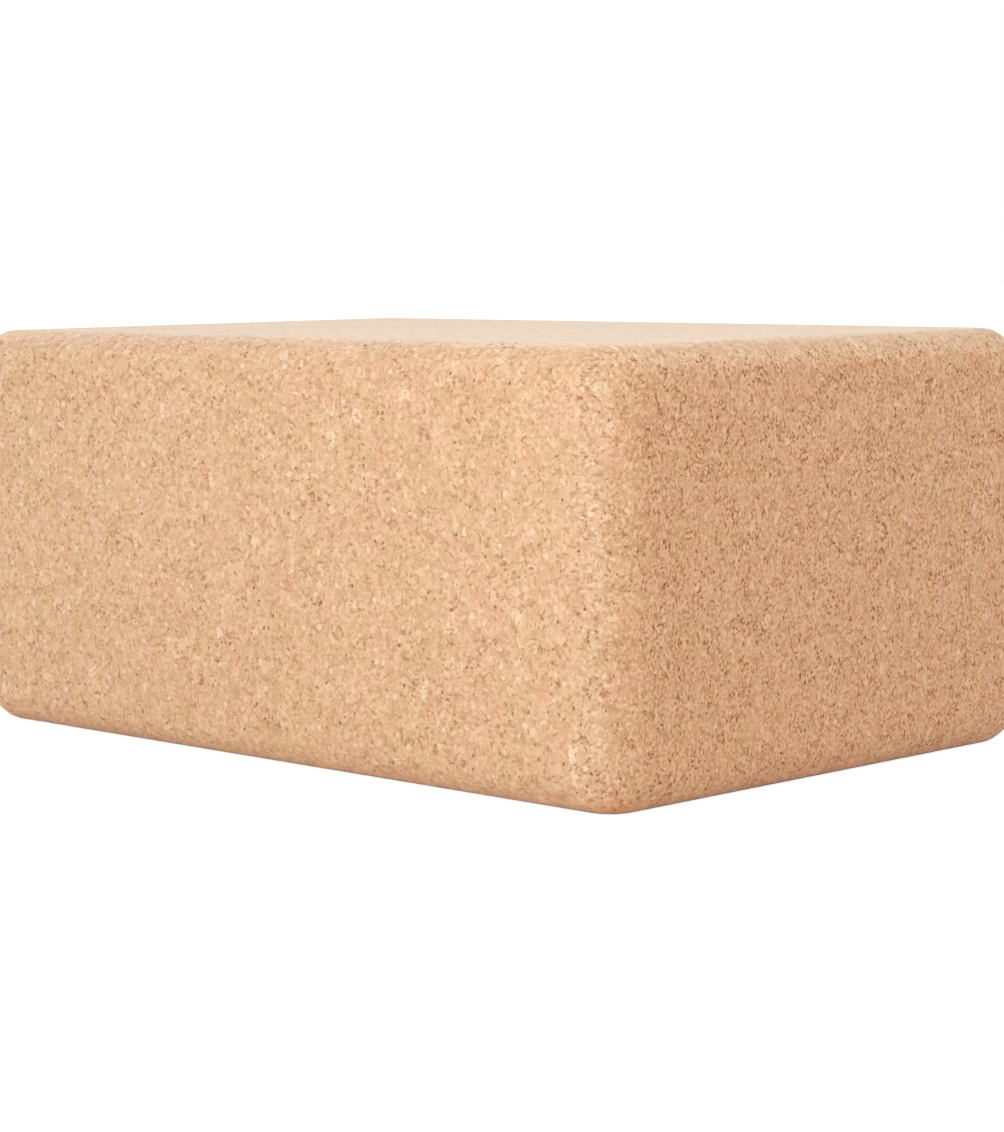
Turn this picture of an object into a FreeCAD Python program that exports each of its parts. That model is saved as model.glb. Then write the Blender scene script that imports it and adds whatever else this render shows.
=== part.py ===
import FreeCAD, Part
import os

# Cork yoga block: one brick of pressed cork granules, rounded on all its edges.
# It lies on its largest face. The origin is the centre of that face, X runs along
# the length, Y along the width and Z up. Lengths are in millimetres.

# Driving dimensions: the three heights that the block offers, lying, on its side and on end
HEIGHT = 101.6
WIDTH = 152.4
LENGTH = 228.6

# Rounding of the four upright edges, and of the rims round the top and the base
UPRIGHT_RADIUS = 12.5
RIM_RADIUS = 8.5


def is_upright(edge):
    """True for an edge that runs from the base to the top."""
    return edge.BoundBox.ZLength > HEIGHT / 2


def brick():
    """The sawn brick with sharp edges, centred over the origin."""
    corner = FreeCAD.Vector(-LENGTH / 2, -WIDTH / 2, 0)
    return Part.makeBox(LENGTH, WIDTH, HEIGHT, corner)


def round_uprights(block):
    """The block with its upright edges rounded."""
    uprights = [edge for edge in block.Edges if is_upright(edge)]
    return block.makeFillet(UPRIGHT_RADIUS, uprights)


def round_rims(block):
    """The block with the rims of its top and its base rounded."""
    level_faces = [face for face in block.Faces if face.BoundBox.ZLength < RIM_RADIUS / 2]
    rims = [edge for face in level_faces for edge in face.Edges]
    return block.makeFillet(RIM_RADIUS, rims)


def cork_block():
    """The finished block: its rims are rounded after its uprights, so each rim is one smooth loop."""
    return round_rims(round_uprights(brick()))


os.makedirs("parts", exist_ok=True)
block = cork_block()
block.exportStep("parts/cork_block.step")
print("cork_block", "valid", block.isValid(), "solids", len(block.Solids), "volume", round(block.Volume / 1e6, 4), "litres")
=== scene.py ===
import math
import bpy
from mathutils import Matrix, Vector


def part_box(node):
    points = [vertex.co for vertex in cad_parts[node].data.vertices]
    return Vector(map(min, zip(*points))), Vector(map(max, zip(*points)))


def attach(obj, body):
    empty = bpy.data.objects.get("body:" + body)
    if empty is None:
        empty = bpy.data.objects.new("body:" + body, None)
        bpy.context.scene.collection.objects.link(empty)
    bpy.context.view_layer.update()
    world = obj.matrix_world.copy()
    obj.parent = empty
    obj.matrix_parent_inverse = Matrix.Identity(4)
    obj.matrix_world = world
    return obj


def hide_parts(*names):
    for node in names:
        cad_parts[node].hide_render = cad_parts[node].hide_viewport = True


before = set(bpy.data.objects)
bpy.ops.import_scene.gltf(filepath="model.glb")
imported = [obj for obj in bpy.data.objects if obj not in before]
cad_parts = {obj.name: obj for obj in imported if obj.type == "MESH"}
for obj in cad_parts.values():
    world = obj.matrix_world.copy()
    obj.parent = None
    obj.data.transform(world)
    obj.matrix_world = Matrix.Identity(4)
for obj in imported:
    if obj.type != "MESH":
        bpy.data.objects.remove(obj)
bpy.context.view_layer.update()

from types import SimpleNamespace

import bpy
from mathutils import Matrix, Vector

# Sizes of the block, read from its solid
MILLIMETRE = 0.001
TOUCHING = 0.01 * MILLIMETRE
LOW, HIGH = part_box("cork_block")
SIZE = HIGH - LOW
SOLID_POINTS = [vertex.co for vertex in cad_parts["cork_block"].data.vertices]
RIM_RADIUS = HIGH.x - max(p.x for p in SOLID_POINTS if p.z > HIGH.z - TOUCHING)
UPRIGHT_RADIUS = HIGH.x - max(p.x for p in SOLID_POINTS if p.y < LOW.y + TOUCHING)

# Every ramp below is given as its start and end, then its low and high where these are not 0 and 1.

# Mesh of the block's skin, with its points shifted at random
SKIN_STEP = 1.55 * MILLIMETRE
SKIN_JITTER = 0.5 * MILLIMETRE
SEED = 11

# Unevenness of the milled edges
EDGE_RELIEF = 0.16 * MILLIMETRE
EDGE_RELIEF_SIZE = 2.4 * MILLIMETRE
WAVE_RAMP = (0.3, 0.7)
OFF_FLAT_RAMP = (0.99, 0.86)

# Pits where granules have crumbled out: in clumps, and more of them on the edges
PIT_SHARE = 0.032
PIT_CLUMP_SIZE = 5 * MILLIMETRE
PIT_CLUMP_RAMP = (0.45, 0.62, 0.2, 2.0)
PITS_ON_FACES = 0.75
PITS_ON_EDGES = 0.95
PIT_DEPTH = 0.35 * MILLIMETRE
SHALLOWEST_PIT = 0.4
PIT_MOUTH = 0.42
PIT_FLOOR = 0.6
# How far the pit walls take the dark brown and painted shade of the floors
PIT_WALL_SHADE = 0.6

# Reach of the sawn ends and of their darker tint, which is partly the end grain's own colour and partly
# painted shade: round the upright edges, and up to the top and base rims
CUT_TURN_RAMP = (0.58, 0.95)
CUT_TOP_RAMP = (0.88, 0.5)
TINT_TURN_RAMP = (0.35, 0.95)
TINT_TOP_RAMP = (0.62, 0.3)
BASE_RIM_RAMP = (-0.98, -0.85)

# Reach of the wear on the upright edges, and of their greyer tint
WORN_TURN_RAMP = (0.02, 0.35)
WORN_RISE_RAMP = (0.75, 0.4)

# Reach of the painted warm bounce light where the base rim turns under: from the sides, and back to the flat
# base
UNDER_SIDE_RAMP = (-0.25, -0.85)
UNDER_BASE_RAMP = (-0.995, -0.93)

# Granules, their lamellae, and slow changes across the block
LARGE_GRANULE = 2.8 * MILLIMETRE
SMALL_GRANULE = 1.25 * MILLIMETRE
PRESSED = (1.0, 1.28, 1.0)
OUTLINE_WOBBLE = 0.35 * MILLIMETRE
WOBBLE_SIZE = 0.8 * MILLIMETRE
LAMELLA_SIZE = 0.8 * MILLIMETRE
LAMELLA_STRETCH = 0.5
CLUSTER_SIZE = 6 * MILLIMETRE
BLOTCH_SIZE = 16 * MILLIMETRE
HUE_SIZE = 9 * MILLIMETRE
APART = (0.3, 0.2, 0.1)
NOISE_MIDDLE = 0.5
FINE_DETAIL = 2.0
HUE_DETAIL = 0.8

# Tones of the granules, pale ones among them, and pale flakes on lamellae
LARGE_TONE_SHARE = 0.28
BLOTCH_RAMP = (0.4, 0.65, 0.0, 0.2)
PALE_SMALL_RAMP = (0.91, 0.93, 0.0, 0.3)
PALEST_SMALL_SPAN = (0.98, 0.985)
PALEST_ON_FACES = 0.42
PALEST_ON_ENDS = 0.7
PALE_LARGE_SHARE = 0.006
PALE_LARGE_RAMP = (0.35, 0.6, 0.3, 0.75)
FLAKE_RAMP = (0.55, 0.72)
FLAKES_ADDED_ON_ENDS = 0.06
FLAKE_PALENESS = 0.41
PALER_ON_ENDS = 0.3
PALER_ON_UPRIGHTS = 0.45

# Gaps: pores between small granules, rims of large ones, and streaks along lamellae
CLUSTER_SPAN = (0.35, 0.6)
SPARSEST = 0.46
SPARSER_ON_ENDS = 0.2
DENSEST = 0.9
OPENED_ON_ENDS = 1.2
OPENED_ON_UPRIGHTS = 0.3
CLOSED_BY_WEAR = 0.62
TIGHT_GRANULE_RAMP = (0.72, 0.76, 1.0, 0.55)
STREAK_RAMP = (0.03, 0.22, 0.0, 0.72)
PORE_UNREST = 0.6
PORE_RAMP = (0.8, 0.95)
PORE_SHADE = 0.74
RIM_UNREST = 0.3
RIM_RAMP = (0.04, -0.02)
RIM_SHADE = 0.35
PIT_SHADE = 0.85
ROSY_RAMP = (0.5, 0.66)
STRAW_RAMP = (0.5, 0.34)

# Fine relief and gloss of the cork
LAMELLA_RELIEF = 0.6
GAP_RELIEF = 0.5
TONE_RELIEF = 0.3
SMOOTHER_ON_ENDS = 0.45
RELIEF_STRENGTH = 0.45
RELIEF_HEIGHT = 0.25 * MILLIMETRE
ROUGHNESS = 0.4
LAMELLA_ROUGHNESS = 0.2
SPECULAR_LEVEL = 0.25
SHEEN = 0.4
SHEEN_ROUGHNESS = 0.35

# Floor, background and lamps. A lamp has its place, its size and the share of plain light that it adds.
FLOOR_REACH = 6.0
FLOOR_COLOUR = (0.9, 0.9, 0.9, 1.0)
FLOOR_SHADOW_COLOUR = (0.4, 0.4, 0.4, 1.0)
FLOOR_GLOW = 0.9
FLOOR_GLOW_MIRRORED = 0.2
WORLD_LIGHT = 0.5
WORLD_SEEN = 1.0
LAMPS = {
    "key_lamp": ((0.3, -0.64, 0.4), 0.45, 0.39),
    "fill_lamp": ((0.9, 0.7, 0.8), 0.6, 0.15),
    "back_lamp": ((-0.7, 0.75, 0.9), 0.6, 0.17),
    "left_lamp": ((-1.2, 0.1, 0.6), 0.6, 0.13)}

# Camera, as fitted to the outline of the block in the picture
PICTURE_WIDTH = 1004
PICTURE_HEIGHT = 1132
FOCAL_PIXELS = 3132.9
EYE = Vector((558.48, -558.92, 123.65)) * MILLIMETRE
YAW = -0.7794
PITCH = 0.1035
ROLL = 0.0084
SENSOR = 36.0
NEAREST_SEEN = 0.01


def colour(red, green, blue):
    """Linear colour of an 8-bit screen colour."""
    def linear(level):
        share = level / 255
        return share / 12.92 if share <= 0.04045 else ((share + 0.055) / 1.055) ** 2.4
    return (linear(red), linear(green), linear(blue), 1.0)


# Colours of the cork, and casts that multiply them, among them painted shade on the ends and painted warm
# bounce light on the base rim
# Dark brown of the pit floors and walls: partly the cork's own dark specks, partly painted shade
PIT_BROWN_AND_PAINTED_SHADE = colour(150, 78, 14)
RUSSET = colour(208, 160, 117)
TAN = colour(227, 183, 141)
HONEY = colour(235, 191, 150)
LIGHT_HONEY = colour(242, 199, 159)
PALE_HONEY = colour(250, 213, 175)
CREAM = colour(255, 226, 193)
PORE_BROWN = colour(166, 98, 30)
END_PORE_BROWN = colour(170, 97, 16)
TONES = ((0.0, RUSSET), (0.22, TAN), (0.5, HONEY), (0.75, LIGHT_HONEY), (1.0, PALE_HONEY))
ROSY_CAST = (1.013, 0.983, 1.004, 1.0)
STRAW_CAST = (0.989, 1.004, 0.977, 1.0)
# Darker, warmer tint of the ends: partly the end grain's own colour, partly painted shade
END_GRAIN_AND_PAINTED_SHADE_CAST = (0.925, 0.797, 0.72, 1.0)
# A greyer tint on the rounded upright edges
UPRIGHT_GREYING_CAST = (0.955, 0.982, 1.0, 1.0)
# Painted warm bounce light on the base rim, which also offsets the grey reflection there
PAINTED_BOUNCE_LIGHT_CAST = (1.07, 0.965, 0.85, 1.0)
DUST = (0.91, 1.0, 0.94, 1.0)
WHITE = (1.0, 1.0, 1.0, 1.0)


# Node helpers
def add(tree, kind, values=None, **settings):
    """A new node with its settings made and its inputs linked or set."""
    node = tree.nodes.new(kind)
    for name, setting in settings.items():
        setattr(node, name, setting)
    for key, value in (values or {}).items():
        if isinstance(value, bpy.types.NodeSocket):
            tree.links.new(value, node.inputs[key])
        else:
            node.inputs[key].default_value = value
    return node


def maths(tree, operation, *values):
    """The result of an operation on numbers or sockets."""
    return add(tree, "ShaderNodeMath", dict(enumerate(values)), operation=operation).outputs[0]


def product(tree, first, second):
    """One number times another."""
    return maths(tree, "MULTIPLY", first, second)


def total(tree, first, second):
    """The sum of two numbers."""
    return maths(tree, "ADD", first, second)


def less(tree, first, second):
    """One number less another."""
    return maths(tree, "SUBTRACT", first, second)


def larger(tree, first, second):
    """The larger of two numbers."""
    return maths(tree, "MAXIMUM", first, second)


def vectors(tree, operation, *values):
    """The vector that comes of an operation on vectors or sockets."""
    node = add(tree, "ShaderNodeVectorMath", dict(enumerate(values)), operation=operation)
    return node.outputs["Vector"]


def scaled(tree, vector, factor):
    """A vector times a number."""
    node = add(tree, "ShaderNodeVectorMath", {0: vector, "Scale": factor}, operation="SCALE")
    return node.outputs["Vector"]


def length_of(tree, vector):
    """The length of a vector."""
    return add(tree, "ShaderNodeVectorMath", {0: vector}, operation="LENGTH").outputs["Value"]


def combined(tree, x, y, z):
    """The vector made of three numbers."""
    return add(tree, "ShaderNodeCombineXYZ", {"X": x, "Y": y, "Z": z}).outputs[0]


def separated(tree, vector):
    """The three numbers of a vector."""
    return add(tree, "ShaderNodeSeparateXYZ", {0: vector}).outputs


def ramped(tree, value, start, end, low=0.0, high=1.0):
    """A value eased from low to high as it goes from start to end."""
    values = {"Value": value, "From Min": start, "From Max": end, "To Min": low, "To Max": high}
    return add(tree, "ShaderNodeMapRange", values, interpolation_type="SMOOTHSTEP").outputs["Result"]


def mixed(tree, factor, first, second, blend="MIX"):
    """Two colours mixed."""
    values = {0: factor, 6: first, 7: second}
    node = add(tree, "ShaderNodeMix", values, data_type="RGBA", blend_type=blend)
    return node.outputs[2]


def blended(tree, factor, first, second):
    """Two numbers mixed."""
    return add(tree, "ShaderNodeMix", {0: factor, 2: first, 3: second}, data_type="FLOAT").outputs[0]


def attribute(tree, name):
    """A number that the skin carries."""
    return add(tree, "ShaderNodeAttribute", attribute_name=name).outputs["Fac"]


def noise(tree, place, size, detail):
    """Soft noise with waves of this size."""
    return add(tree, "ShaderNodeTexNoise", {"Vector": place, "Scale": 1 / size, "Detail": detail}).outputs


def group_inputs(tree, sockets):
    """Named inputs on a node group, and the node that holds them."""
    for name, kind in sockets.items():
        tree.interface.new_socket(name, in_out="INPUT", socket_type="NodeSocket" + kind)
    return add(tree, "NodeGroupInput").outputs


# Skin of the block
def rounded_position(tree, sizes, upright_radius, rim_radius, place):
    """Where a point of the sharp brick lies on the rounded block, and which way is out there."""
    half = scaled(tree, sizes, 0.5)
    inner_half = vectors(tree, "SUBTRACT", half, combined(tree, rim_radius, rim_radius, rim_radius))
    plan_corner = less(tree, upright_radius, rim_radius)
    straight_half = vectors(tree, "SUBTRACT", inner_half, combined(tree, plan_corner, plan_corner, 0.0))
    folded = vectors(tree, "ABSOLUTE", place)
    straight = vectors(tree, "MINIMUM", folded, straight_half)
    past = vectors(tree, "MULTIPLY", vectors(tree, "SUBTRACT", folded, straight), (1.0, 1.0, 0.0))
    reach = maths(tree, "DIVIDE", plan_corner, larger(tree, length_of(tree, past), TOUCHING))
    core = vectors(tree, "ADD", straight, scaled(tree, past, maths(tree, "MINIMUM", reach, 1.0)))
    outward = vectors(tree, "NORMALIZE", vectors(tree, "SUBTRACT", folded, core))
    surface = vectors(tree, "ADD", core, scaled(tree, outward, rim_radius))
    side = vectors(tree, "SIGN", place)
    return vectors(tree, "MULTIPLY", surface, side), vectors(tree, "MULTIPLY", outward, side)


def edge_share(tree, outward):
    """How far a place is from flat: 0 on the faces and 1 on the rounded edges."""
    parts = separated(tree, vectors(tree, "ABSOLUTE", outward))
    steepest = larger(tree, larger(tree, parts[0], parts[1]), parts[2])
    return ramped(tree, steepest, *OFF_FLAT_RAMP)


def plan_direction(tree, facing):
    """How far a place faces the ends and the sides, as seen in plan, and how far it faces up."""
    level = vectors(tree, "NORMALIZE", vectors(tree, "MULTIPLY", facing, (1.0, 1.0, 0.0)))
    parts = separated(tree, vectors(tree, "ABSOLUTE", level))
    return parts["X"], parts["Y"], separated(tree, facing)["Z"]


def end_share(tree, facing, turn_ramp, top_ramp):
    """How far a place belongs to an end: 0 on the sides, the top and the base, and 1 on the end."""
    endways, _, rise = plan_direction(tree, facing)
    below_top = product(tree, ramped(tree, endways, *turn_ramp), ramped(tree, rise, *top_ramp))
    return product(tree, below_top, ramped(tree, rise, *BASE_RIM_RAMP))


def upright_share(tree, facing):
    """How far a place belongs to a rounded upright edge: 0 on the faces and 1 on the edge."""
    endways, sideways, rise = plan_direction(tree, facing)
    turning = ramped(tree, maths(tree, "MINIMUM", endways, sideways), *WORN_TURN_RAMP)
    return product(tree, turning, ramped(tree, maths(tree, "ABSOLUTE", rise), *WORN_RISE_RAMP))


def painted_bounce_share(tree, facing):
    """How far a place is on the rim that turns under, where warm bounce light is painted: 0 on the sides and
    the flat base, and 1 between.
    """
    rise = separated(tree, facing)["Z"]
    return product(tree, ramped(tree, rise, *UNDER_SIDE_RAMP), ramped(tree, rise, *UNDER_BASE_RAMP))


def sharp_brick(tree, given, sizes):
    """The brick with sharp edges, cut into a mesh of the step."""
    counts = {}
    for axis, side in (("X", "Length"), ("Y", "Width"), ("Z", "Height")):
        steps = maths(tree, "CEIL", maths(tree, "DIVIDE", given[side], given["Step"]))
        counts[f"Vertices {axis}"] = total(tree, steps, 1)
    return add(tree, "GeometryNodeMeshCube", {"Size": sizes, **counts}).outputs["Mesh"]


def jittered_place(tree, given, sizes):
    """Each point of the brick shifted at random, but kept on its face and on its edge."""
    place = add(tree, "GeometryNodeInputPosition").outputs[0]
    spare = vectors(tree, "SUBTRACT", scaled(tree, sizes, 0.5), vectors(tree, "ABSOLUTE", place))
    spare_steps = scaled(tree, spare, maths(tree, "DIVIDE", 1.0, given["Step"]))
    free = vectors(tree, "MINIMUM", spare_steps, (1.0, 1.0, 1.0))
    values = {0: (-1.0, -1.0, -1.0), 1: (1.0, 1.0, 1.0), "Seed": given["Seed"]}
    shift = add(tree, "FunctionNodeRandomValue", values, data_type="FLOAT_VECTOR").outputs[0]
    return vectors(tree, "ADD", place, vectors(tree, "MULTIPLY", scaled(tree, shift, given["Jitter"]), free))


def uneven_position(tree, given, sizes):
    """Where each point lies on the rounded block, with shallow dips along its edges."""
    place = jittered_place(tree, given, sizes)
    rounded, outward = rounded_position(tree, sizes, given["Upright Radius"], given["Rim Radius"], place)
    scale = maths(tree, "DIVIDE", 1.0, given["Edge Relief Size"])
    waves = add(tree, "ShaderNodeTexNoise", {"Vector": rounded, "Scale": scale, "Detail": 1.0}).outputs[0]
    dip = product(tree, ramped(tree, waves, *WAVE_RAMP), edge_share(tree, outward))
    sunk = scaled(tree, outward, product(tree, dip, given["Edge Relief"]))
    uneven = vectors(tree, "SUBTRACT", rounded, sunk)
    lift = combined(tree, 0.0, 0.0, product(tree, given["Height"], 0.5))
    return vectors(tree, "ADD", uneven, lift)


def inset(tree, mesh, chosen, offset, share):
    """Chosen faces moved along their normals and drawn in to a share of their size."""
    values = {"Mesh": mesh, "Selection": chosen, "Offset Scale": offset, "Individual": True}
    moved = add(tree, "GeometryNodeExtrudeMesh", values, mode="FACES").outputs
    values = {"Geometry": moved["Mesh"], "Selection": moved["Top"], "Scale": share}
    drawn_in = add(tree, "GeometryNodeScaleElements", values, domain="FACE")
    return {"Mesh": drawn_in.outputs[0], "Top": moved["Top"], "Side": moved["Side"]}


def pit_faces(tree, given, facing):
    """The faces that have a pit: a random choice, by clumps and edges."""
    scale = maths(tree, "DIVIDE", 1.0, given["Pit Clump Size"])
    clumps = add(tree, "ShaderNodeTexNoise", {"Scale": scale, "Detail": 1.0}).outputs[0]
    clumped = product(tree, given["Pit Share"], ramped(tree, clumps, *PIT_CLUMP_RAMP))
    by_edge = blended(tree, edge_share(tree, facing), PITS_ON_FACES, PITS_ON_EDGES)
    values = {"Probability": product(tree, clumped, by_edge), "Seed": given["Seed"]}
    return add(tree, "FunctionNodeRandomValue", values, data_type="BOOLEAN").outputs[3]


def pitted(tree, given, skin, facing):
    """The skin with pits sunk into it, and a mark on their walls and floors, where dark brown and painted
    shade go.
    """
    values = {2: SHALLOWEST_PIT, 3: 1.0, "Seed": given["Seed"]}
    depth = add(tree, "FunctionNodeRandomValue", values, data_type="FLOAT").outputs[1]
    sunk = product(tree, product(tree, depth, given["Pit Depth"]), -1.0)
    mouths = inset(tree, skin, pit_faces(tree, given, facing), 0.0, given["Pit Mouth"])
    pits = inset(tree, mouths["Mesh"], mouths["Top"], sunk, given["Pit Floor"])
    pit_mark = total(tree, pits["Top"], product(tree, pits["Side"], PIT_WALL_SHADE))
    return stored(tree, pits["Mesh"], "pit", pit_mark, "FACE")


def stored(tree, mesh, name, value, domain="POINT"):
    """The mesh with a number kept on its points or faces, for the material to read."""
    values = {"Geometry": mesh, "Name": name, "Value": value}
    return add(tree, "GeometryNodeStoreNamedAttribute", values, data_type="FLOAT", domain=domain).outputs[0]


SKIN_INPUTS = {
    "Length": "Float", "Width": "Float", "Height": "Float",
    "Upright Radius": "Float", "Rim Radius": "Float",
    "Step": "Float", "Jitter": "Float",
    "Edge Relief": "Float", "Edge Relief Size": "Float",
    "Pit Share": "Float", "Pit Clump Size": "Float", "Pit Depth": "Float",
    "Pit Mouth": "Float", "Pit Floor": "Float",
    "Seed": "Int", "Cork": "Material"}


def skin_tree():
    """Geometry Nodes tree for the block's skin: a brick, rounded, uneven at its edges and pitted."""
    tree = bpy.data.node_groups.new("cork block skin", "GeometryNodeTree")
    given = group_inputs(tree, SKIN_INPUTS)
    tree.interface.new_socket("Skin", in_out="OUTPUT", socket_type="NodeSocketGeometry")

    sizes = combined(tree, given["Length"], given["Width"], given["Height"])
    brick = sharp_brick(tree, given, sizes)
    position = uneven_position(tree, given, sizes)
    skin = add(tree, "GeometryNodeSetPosition", {"Geometry": brick, "Position": position}).outputs[0]

    facing = add(tree, "GeometryNodeInputNormal").outputs[0]
    skin = pitted(tree, given, skin, facing)
    skin = stored(tree, skin, "cut", end_share(tree, facing, CUT_TURN_RAMP, CUT_TOP_RAMP))
    # Mask of the ends' darker tint, which is partly painted shade
    skin = stored(tree, skin, "end_tint_and_painted_shade", end_share(tree, facing, TINT_TURN_RAMP, TINT_TOP_RAMP))
    skin = stored(tree, skin, "worn", upright_share(tree, facing))
    # Mask for the painted warm bounce light on the base rim
    skin = stored(tree, skin, "under", painted_bounce_share(tree, facing))

    smooth = add(tree, "GeometryNodeSetShadeSmooth", {"Geometry": skin}).outputs[0]
    whole = add(tree, "GeometryNodeRealizeInstances", {"Geometry": smooth}).outputs[0]
    dressed = add(tree, "GeometryNodeSetMaterial", {"Geometry": whole, "Material": given["Cork"]}).outputs[0]
    add(tree, "NodeGroupOutput", {"Skin": dressed})
    return tree


def made_by(tree, name, settings):
    """A plain mesh piece made by a Geometry Nodes tree with these inputs."""
    piece = bpy.data.objects.new(name, bpy.data.meshes.new(name))
    bpy.context.scene.collection.objects.link(piece)
    maker = piece.modifiers.new("maker", "NODES")
    maker.node_group = tree
    for item in tree.interface.items_tree:
        if item.in_out == "INPUT":
            maker[item.identifier] = settings[item.name]
    evaluated = piece.evaluated_get(bpy.context.evaluated_depsgraph_get())
    mesh = bpy.data.meshes.new_from_object(evaluated)
    piece.modifiers.remove(maker)
    empty_slots = [slot for slot, material in enumerate(mesh.materials) if material is None]
    for slot in reversed(empty_slots):
        mesh.materials.pop(index=slot)
    piece.data = mesh
    mesh.name = name
    return piece


# Cork
def granule_group():
    """Shader group for granules of one size: three drawn numbers for each one, and the ways to its edge."""
    tree = bpy.data.node_groups.new("cork granules", "ShaderNodeTree")
    given = group_inputs(tree, {"Place": "Vector", "Granule Size": "Float"})
    for name in ("Tone", "Tint", "Pick", "From Middle", "To Edge"):
        tree.interface.new_socket(name, in_out="OUTPUT", socket_type="NodeSocketFloat")
    cell_inputs = {"Vector": given["Place"], "Scale": maths(tree, "DIVIDE", 1.0, given["Granule Size"])}
    cells = add(tree, "ShaderNodeTexVoronoi", cell_inputs)
    edges = add(tree, "ShaderNodeTexVoronoi", cell_inputs, feature="DISTANCE_TO_EDGE")
    drawn = add(tree, "ShaderNodeSeparateColor", {0: cells.outputs["Color"]}).outputs
    add(tree, "NodeGroupOutput", {
        "Tone": drawn[0], "Tint": drawn[1], "Pick": drawn[2],
        "From Middle": cells.outputs["Distance"], "To Edge": edges.outputs["Distance"]})
    return tree


def granules(tree, group, place, size):
    """The outputs of the granule group at one granule size."""
    node = add(tree, "ShaderNodeGroup", node_tree=group)
    tree.links.new(place, node.inputs["Place"])
    node.inputs["Granule Size"].default_value = size
    return node.outputs


def lamellae(tree, place, granule):
    """Noise drawn out into short streaks, which run their own way in each granule."""
    angles = [product(tree, granule[name], math.tau) for name in ("Tone", "Tint", "Pick")]
    values = {"Vector": place, "Rotation": combined(tree, *angles)}
    turned = add(tree, "ShaderNodeVectorRotate", values, rotation_type="EULER_XYZ").outputs[0]
    drawn_out = vectors(tree, "MULTIPLY", turned, (1.0, 1.0, LAMELLA_STRETCH))
    return noise(tree, drawn_out, LAMELLA_SIZE, FINE_DETAIL)[0]


def cork_grain(tree):
    """What lies at each place of the block: granules, lamellae, slow changes, and its ends and edges."""
    group = granule_group()
    spot = add(tree, "ShaderNodeTexCoord").outputs["Object"]
    place = vectors(tree, "MULTIPLY", spot, PRESSED)
    wobble = noise(tree, place, WOBBLE_SIZE, FINE_DETAIL)["Color"]
    swing = vectors(tree, "SUBTRACT", wobble, (NOISE_MIDDLE, NOISE_MIDDLE, NOISE_MIDDLE))
    wobbled = vectors(tree, "ADD", place, scaled(tree, swing, 2 * OUTLINE_WOBBLE))
    large = granules(tree, group, wobbled, LARGE_GRANULE)
    small = granules(tree, group, wobbled, SMALL_GRANULE)
    return SimpleNamespace(
        large=large,
        small=small,
        tone=blended(tree, LARGE_TONE_SHARE, small["Tone"], large["Tone"]),
        lamella=lamellae(tree, place, large),
        blotch=noise(tree, place, BLOTCH_SIZE, FINE_DETAIL)[0],
        cluster=noise(tree, place, CLUSTER_SIZE, FINE_DETAIL)[0],
        hue=noise(tree, vectors(tree, "ADD", place, APART), HUE_SIZE, HUE_DETAIL)[0],
        cut=attribute(tree, "cut"),
        end_tint_and_painted_shade=attribute(tree, "end_tint_and_painted_shade"),
        worn=attribute(tree, "worn"),
        under=attribute(tree, "under"),
        pit=attribute(tree, "pit"))


def tone_colours(tree, tone):
    """The colour of a granule from its tone, from russet to pale honey."""
    ramp = add(tree, "ShaderNodeValToRGB", {0: tone})
    stops = ramp.color_ramp.elements
    stops[0].position, stops[0].color = TONES[0]
    stops[1].position, stops[1].color = TONES[-1]
    for position, shade in TONES[1:-1]:
        stops.new(position).color = shade
    return ramp.outputs["Color"]


def granule_colours(tree, grain):
    """The colour of the granules by themselves, with pale ones and pale flakes among them."""
    cork = tone_colours(tree, grain.tone)
    cork = mixed(tree, ramped(tree, grain.blotch, *BLOTCH_RAMP), cork, TAN)
    pale_small = ramped(tree, grain.small["Pick"], *PALE_SMALL_RAMP)
    palest = blended(tree, grain.cut, PALEST_ON_FACES, PALEST_ON_ENDS)
    palest_small = ramped(tree, grain.small["Pick"], *PALEST_SMALL_SPAN, 0.0, palest)
    cork = mixed(tree, total(tree, pale_small, palest_small), cork, CREAM)

    flake = total(tree, grain.lamella, product(tree, grain.cut, FLAKES_ADDED_ON_ENDS))
    paler_ends = product(tree, grain.cut, PALER_ON_ENDS)
    paler_uprights = product(tree, grain.worn, PALER_ON_UPRIGHTS)
    paleness = total(tree, FLAKE_PALENESS, larger(tree, paler_ends, paler_uprights))
    cork = mixed(tree, product(tree, ramped(tree, flake, *FLAKE_RAMP), paleness), cork, CREAM)

    chosen_large = maths(tree, "LESS_THAN", grain.large["Pick"], PALE_LARGE_SHARE)
    pale_large = product(tree, chosen_large, ramped(tree, grain.lamella, *PALE_LARGE_RAMP))
    return mixed(tree, pale_large, cork, CREAM)


def torn_share(tree, grain):
    """How far a place is torn open by the saw: the ends, less where wear has closed them."""
    return product(tree, grain.cut, less(tree, 1.0, product(tree, grain.worn, CLOSED_BY_WEAR)))


def gap_crowding(tree, grain, torn):
    """How many gaps a place has: more in clusters and on torn ends, fewer in tight granules."""
    sparsest = less(tree, SPARSEST, product(tree, grain.cut, SPARSER_ON_ENDS))
    crowding = ramped(tree, grain.cluster, *CLUSTER_SPAN, sparsest, DENSEST)
    opened_ends = product(tree, torn, OPENED_ON_ENDS)
    opened_uprights = product(tree, grain.worn, OPENED_ON_UPRIGHTS)
    opened = total(tree, 1.0, larger(tree, opened_ends, opened_uprights))
    crowding = product(tree, crowding, opened)
    return product(tree, crowding, ramped(tree, grain.large["Pick"], *TIGHT_GRANULE_RAMP))


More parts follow.
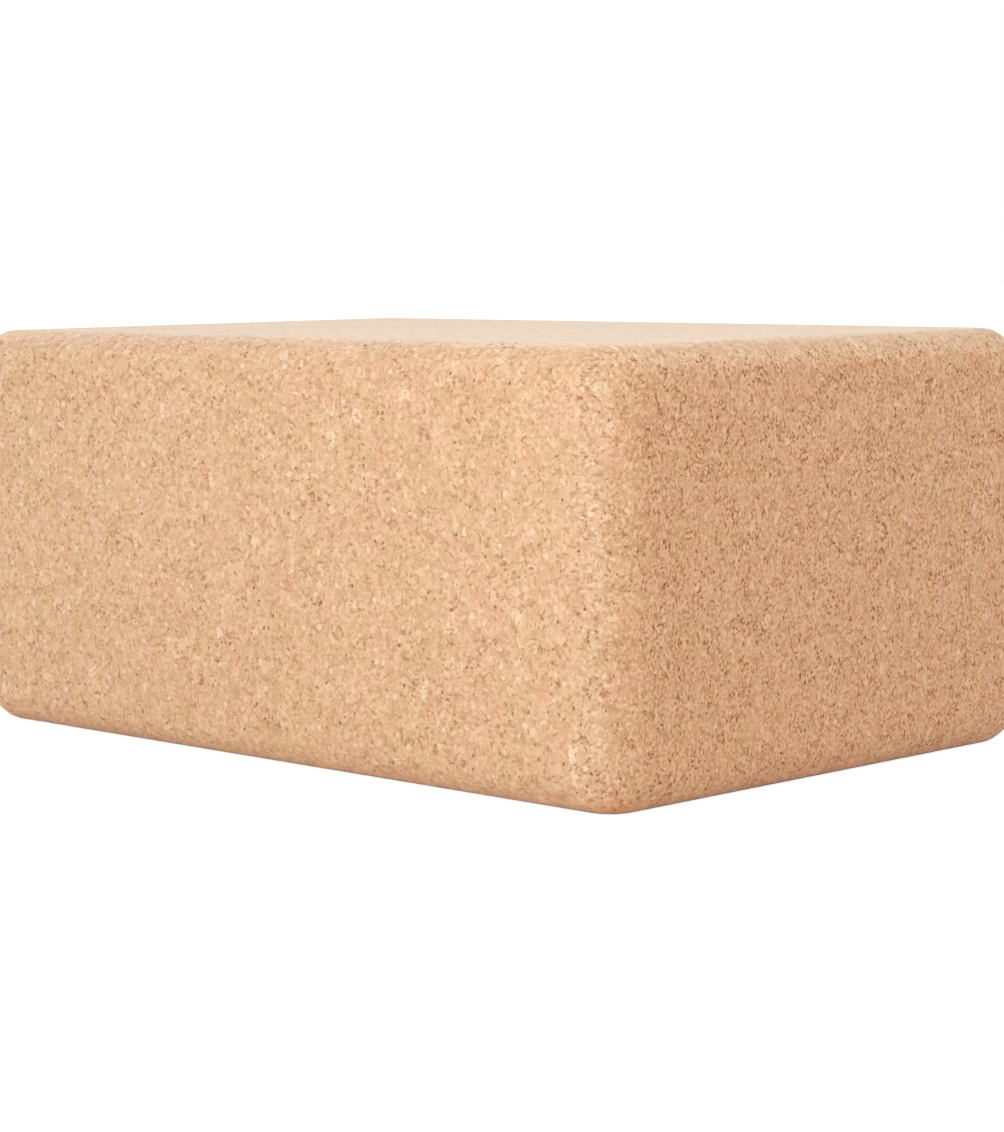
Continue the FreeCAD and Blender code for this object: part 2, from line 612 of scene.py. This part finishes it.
def gap_share(tree, grain, crowding):
    """How far a place is a gap: a pore, the rim of a large granule or a streak."""
    unrest = less(tree, NOISE_MIDDLE, grain.lamella)
    streak = product(tree, ramped(tree, unrest, *STREAK_RAMP), crowding)
    meeting = total(tree, grain.small["From Middle"], product(tree, unrest, PORE_UNREST))
    pore = product(tree, ramped(tree, meeting, *PORE_RAMP), crowding)
    parting = less(tree, grain.large["To Edge"], product(tree, unrest, RIM_UNREST))
    rim = product(tree, ramped(tree, parting, *RIM_RAMP), crowding)
    gap = larger(tree, product(tree, pore, PORE_SHADE), product(tree, rim, RIM_SHADE))
    return larger(tree, gap, streak)


def cork_colour(tree, grain, gap, torn):
    """The colour of the whole cork: granules, the tint of the ends with painted shade in it, gaps, a greyer
    tint on the upright edges, painted warm bounce light on the base rim, hue casts, and pits darkened partly
    with painted shade.
    """
    cork = granule_colours(tree, grain)
    # The ends darkened: partly their own colour, partly painted shade
    cork = mixed(tree, grain.end_tint_and_painted_shade, cork, END_GRAIN_AND_PAINTED_SHADE_CAST, "MULTIPLY")
    cork = mixed(tree, gap, cork, mixed(tree, torn, PORE_BROWN, END_PORE_BROWN))
    # The rounded upright edges made greyer
    cork = mixed(tree, grain.worn, cork, UPRIGHT_GREYING_CAST, "MULTIPLY")
    # Painted warm bounce light where the base rim turns under
    cork = mixed(tree, grain.under, cork, PAINTED_BOUNCE_LIGHT_CAST, "MULTIPLY")
    cork = mixed(tree, ramped(tree, grain.hue, *ROSY_RAMP), cork, ROSY_CAST, "MULTIPLY")
    cork = mixed(tree, ramped(tree, grain.hue, *STRAW_RAMP), cork, STRAW_CAST, "MULTIPLY")
    # Pits darkened: partly dark specks, partly painted shade in the hollows
    return mixed(tree, product(tree, grain.pit, PIT_SHADE), cork, PIT_BROWN_AND_PAINTED_SHADE)


def cork_relief(tree, grain, gap):
    """Fine relief of the lamellae, gaps and granules, flatter on the ends."""
    level = less(tree, product(tree, grain.lamella, LAMELLA_RELIEF), product(tree, gap, GAP_RELIEF))
    level = total(tree, level, product(tree, grain.tone, TONE_RELIEF))
    level = product(tree, level, less(tree, 1.0, product(tree, grain.cut, SMOOTHER_ON_ENDS)))
    values = {"Height": level, "Strength": RELIEF_STRENGTH, "Distance": RELIEF_HEIGHT}
    return add(tree, "ShaderNodeBump", values).outputs[0]


def cork_material():
    """Pressed cork: a mosaic of small and large granules with brown pores where they meet."""
    material = bpy.data.materials.new("pressed_cork")
    material.use_nodes = True
    tree = material.node_tree
    tree.nodes.clear()
    grain = cork_grain(tree)
    torn = torn_share(tree, grain)
    gap = gap_share(tree, grain, gap_crowding(tree, grain, torn))
    surface = add(tree, "ShaderNodeBsdfPrincipled", {
        "Base Color": cork_colour(tree, grain, gap, torn),
        "Roughness": total(tree, ROUGHNESS, product(tree, grain.lamella, LAMELLA_ROUGHNESS)),
        "Normal": cork_relief(tree, grain, gap),
        "Specular IOR Level": SPECULAR_LEVEL,
        "Sheen Weight": SHEEN, "Sheen Roughness": SHEEN_ROUGHNESS, "Sheen Tint": DUST})
    add(tree, "ShaderNodeOutputMaterial", {"Surface": surface.outputs[0]})
    return material


# Stage
def seen_directly(tree):
    """1 for rays from the camera, a mirror or glass, and 0 for the light that falls on things."""
    rays = add(tree, "ShaderNodeLightPath").outputs
    seen = larger(tree, rays["Is Camera Ray"], rays["Is Glossy Ray"])
    return larger(tree, seen, rays["Is Transmission Ray"])


def floor_material():
    """White for the light that falls on the block, and a faint shadow on white for the camera."""
    material = bpy.data.materials.new("white_floor")
    material.use_nodes = True
    tree = material.node_tree
    tree.nodes.clear()
    lit = add(tree, "ShaderNodeBsdfDiffuse", {"Color": FLOOR_COLOUR}).outputs[0]
    shadowed = add(tree, "ShaderNodeBsdfDiffuse", {"Color": FLOOR_SHADOW_COLOUR}).outputs[0]
    rays = add(tree, "ShaderNodeLightPath").outputs
    strength = blended(tree, rays["Is Glossy Ray"], FLOOR_GLOW, FLOOR_GLOW_MIRRORED)
    glow = add(tree, "ShaderNodeEmission", {"Strength": strength}).outputs[0]
    seen = add(tree, "ShaderNodeAddShader", {0: shadowed, 1: glow}).outputs[0]
    shown = add(tree, "ShaderNodeMixShader", {0: seen_directly(tree), 1: lit, 2: seen}).outputs[0]
    add(tree, "ShaderNodeOutputMaterial", {"Surface": shown})
    return material


def make_floor():
    """A wide white floor under the block."""
    mesh = bpy.data.meshes.new("floor")
    corners = [(FLOOR_REACH * x, FLOOR_REACH * y, 0) for x, y in ((-1, -1), (1, -1), (1, 1), (-1, 1))]
    mesh.from_pydata(corners, [], [(0, 1, 2, 3)])
    mesh.materials.append(floor_material())
    floor = bpy.data.objects.new("floor", mesh)
    bpy.context.scene.collection.objects.link(floor)


def make_world():
    """An even soft light all round, with a white background."""
    world = bpy.data.worlds.new("studio")
    bpy.context.scene.world = world
    world.use_nodes = True
    tree = world.node_tree
    tree.nodes.clear()
    soft = add(tree, "ShaderNodeBackground", {"Color": WHITE, "Strength": WORLD_LIGHT}).outputs[0]
    white = add(tree, "ShaderNodeBackground", {"Color": WHITE, "Strength": WORLD_SEEN}).outputs[0]
    shown = add(tree, "ShaderNodeMixShader", {0: seen_directly(tree), 1: soft, 2: white}).outputs[0]
    add(tree, "ShaderNodeOutputWorld", {"Surface": shown})


def add_lamp(name, place, size, level):
    """A square soft lamp aimed at the block, which adds this share of plain light there, face on."""
    lamp = bpy.data.lights.new(name, "AREA")
    lamp.size = size
    middle = (LOW + HIGH) / 2
    away = Vector(place) - middle
    lamp.energy = level * math.pi ** 2 * away.length_squared
    holder = bpy.data.objects.new(name, lamp)
    holder.location = place
    holder.rotation_mode = "QUATERNION"
    holder.rotation_quaternion = away.to_track_quat("Z", "Y")
    bpy.context.scene.collection.objects.link(holder)


def make_camera():
    """The camera of the picture."""
    ahead = Vector((math.sin(YAW) * math.cos(PITCH), math.cos(YAW) * math.cos(PITCH), -math.sin(PITCH)))
    level_right = Vector((math.cos(YAW), -math.sin(YAW), 0))
    level_down = ahead.cross(level_right)
    right = level_right * math.cos(ROLL) + level_down * math.sin(ROLL)
    down = level_down * math.cos(ROLL) - level_right * math.sin(ROLL)
    lens = bpy.data.cameras.new("camera")
    lens.sensor_width = SENSOR
    lens.lens = FOCAL_PIXELS / max(PICTURE_WIDTH, PICTURE_HEIGHT) * SENSOR
    lens.clip_start = NEAREST_SEEN
    camera = bpy.data.objects.new("camera", lens)
    axes = Matrix((right, -down, -ahead)).transposed().to_4x4()
    camera.matrix_world = Matrix.Translation(EYE) @ axes
    bpy.context.scene.collection.objects.link(camera)
    bpy.context.scene.camera = camera


block = made_by(skin_tree(), "cork_block_skin", {
    "Length": SIZE.x, "Width": SIZE.y, "Height": SIZE.z,
    "Upright Radius": UPRIGHT_RADIUS, "Rim Radius": RIM_RADIUS,
    "Step": SKIN_STEP, "Jitter": SKIN_JITTER,
    "Edge Relief": EDGE_RELIEF, "Edge Relief Size": EDGE_RELIEF_SIZE,
    "Pit Share": PIT_SHARE, "Pit Clump Size": PIT_CLUMP_SIZE, "Pit Depth": PIT_DEPTH,
    "Pit Mouth": PIT_MOUTH, "Pit Floor": PIT_FLOOR,
    "Seed": SEED, "Cork": cork_material()})
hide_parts("cork_block")
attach(block, "root")

make_floor()
make_world()
for lamp_name, (lamp_place, lamp_size, lamp_level) in LAMPS.items():
    add_lamp(lamp_name, lamp_place, lamp_size, lamp_level)
make_camera()
bpy.context.scene.view_settings.view_transform = "Standard"
